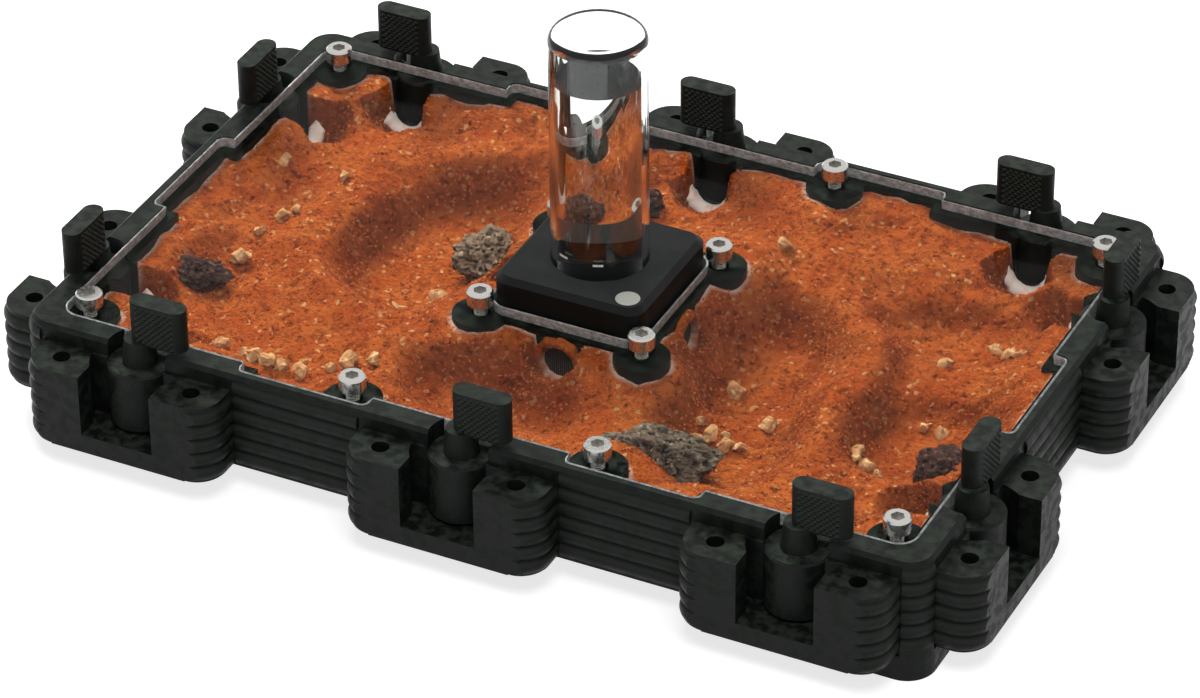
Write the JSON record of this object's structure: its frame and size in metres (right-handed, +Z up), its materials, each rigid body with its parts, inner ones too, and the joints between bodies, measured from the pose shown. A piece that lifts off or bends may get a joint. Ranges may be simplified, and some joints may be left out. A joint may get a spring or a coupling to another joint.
{
  "type": "ant habitat",
  "caption": "Walled ant habitat with turnable port gates, a screwed clear lid over a sand relief, and a lift-out water feeder with an inverted glass vial.",
  "frame": {"origin": "centre of the habitat on the surface that its corner feet stand on", "axes": "+Z up, +X along the long side to the right, +Y towards the back"},
  "size_m": [0.216, 0.144, 0.0853],
  "materials": {
    "black_print": "satin, finely layered print",
    "clear_acrylic": "clear polished sheet",
    "steel": "bright",
    "insert_brass": "plain",
    "screen_steel": "fine woven mesh",
    "disc_steel": "bright",
    "seal_rubber": "matt",
    "vial_glass": "clear polished",
    "water": "clear liquid",
    "plaster": "chalky",
    "sand": "rough grainy, bound sand",
    "lava_dark": "rough porous stone",
    "lava_grey": "rough porous stone",
    "pebble_tan": "smooth stone"
  },
  "bodies": {
    "tray_body": {"tray_floor": "black_print", "wall_front_1": "black_print", "wall_front_2": "black_print", "wall_back_1": "black_print", "wall_back_2": "black_print", "wall_left": "black_print", "wall_right": "black_print", "corner_front_left": "black_print", "corner_front_right": "black_print", "corner_back_left": "black_print", "corner_back_right": "black_print", "station_front_1": "black_print", "station_front_2": "black_print", "station_front_3": "black_print", "station_back_1": "black_print", "station_back_2": "black_print", "station_back_3": "black_print", "station_left_1": "black_print", "station_left_2": "black_print", "station_right_1": "black_print", "station_right_2": "black_print", "clear_lid": "clear_acrylic", "lid_screws": "steel", "lid_inserts": "insert_brass", "feeder_pedestal": "black_print", "feeder_screws": "steel", "feeder_inserts": "insert_brass", "mesh_screens": "screen_steel", "plaster_bed": "plaster", "plaster_collars": "plaster", "sand_west": "sand", "sand_middle": "sand", "sand_east": "sand", "lava_rock_left": "lava_dark", "lava_rock_grey": "lava_grey", "lava_rock_front": "lava_dark", "lava_rock_right": "lava_dark", "lava_rock_back": "lava_dark", "pebbles": "pebble_tan"},
    "block_body": {"feeder_block": "black_print", "block_disc": "disc_steel", "vial_seal": "seal_rubber"},
    "vial_body": {"glass_vial": "vial_glass", "water_fill": "water"},
    "gate_body_front_1": {"gate_front_1": "black_print"},
    "gate_body_front_2": {"gate_front_2": "black_print"},
    "gate_body_front_3": {"gate_front_3": "black_print"},
    "gate_body_back_1": {"gate_back_1": "black_print"},
    "gate_body_back_2": {"gate_back_2": "black_print"},
    "gate_body_back_3": {"gate_back_3": "black_print"},
    "gate_body_left_1": {"gate_left_1": "black_print"},
    "gate_body_left_2": {"gate_left_2": "black_print"},
    "gate_body_right_1": {"gate_right_1": "black_print"},
    "gate_body_right_2": {"gate_right_2": "black_print"}
  },
  "joints": [
    {"name": "gate_turn_front_1", "type": "hinge", "parent": "tray_body", "child": "gate_body_front_1", "pos_m": [-0.072, -0.061, 0.01665], "axis": [0, 0, -1], "range_deg": [0, 90]},
    {"name": "gate_turn_front_2", "type": "hinge", "parent": "tray_body", "child": "gate_body_front_2", "pos_m": [0, -0.061, 0.01665], "axis": [0, 0, -1], "range_deg": [0, 90]},
    {"name": "gate_turn_front_3", "type": "hinge", "parent": "tray_body", "child": "gate_body_front_3", "pos_m": [0.072, -0.061, 0.01665], "axis": [0, 0, -1], "range_deg": [0, 90]},
    {"name": "gate_turn_back_1", "type": "hinge", "parent": "tray_body", "child": "gate_body_back_1", "pos_m": [-0.072, 0.061, 0.01665], "axis": [0, 0, -1], "range_deg": [0, 90]},
    {"name": "gate_turn_back_2", "type": "hinge", "parent": "tray_body", "child": "gate_body_back_2", "pos_m": [0, 0.061, 0.01665], "axis": [0, 0, -1], "range_deg": [0, 90]},
    {"name": "gate_turn_back_3", "type": "hinge", "parent": "tray_body", "child": "gate_body_back_3", "pos_m": [0.072, 0.061, 0.01665], "axis": [0, 0, -1], "range_deg": [0, 90]},
    {"name": "gate_turn_left_1", "type": "hinge", "parent": "tray_body", "child": "gate_body_left_1", "pos_m": [-0.097, -0.036, 0.01665], "axis": [0, 0, -1], "range_deg": [0, 90]},
    {"name": "gate_turn_left_2", "type": "hinge", "parent": "tray_body", "child": "gate_body_left_2", "pos_m": [-0.097, 0.036, 0.01665], "axis": [0, 0, -1], "range_deg": [0, 90]},
    {"name": "gate_turn_right_1", "type": "hinge", "parent": "tray_body", "child": "gate_body_right_1", "pos_m": [0.097, -0.036, 0.01665], "axis": [0, 0, -1], "range_deg": [0, 90]},
    {"name": "gate_turn_right_2", "type": "hinge", "parent": "tray_body", "child": "gate_body_right_2", "pos_m": [0.097, 0.036, 0.01665], "axis": [0, 0, -1], "range_deg": [0, 90]},
    {"name": "block_lift", "type": "slide", "parent": "tray_body", "child": "block_body", "axis": [0, 0, 1], "range_m": [0, 0.02]},
    {"name": "vial_lift", "type": "slide", "parent": "block_body", "child": "vial_body", "axis": [0, 0, 1], "range_m": [0, 0.015]}
  ]
}
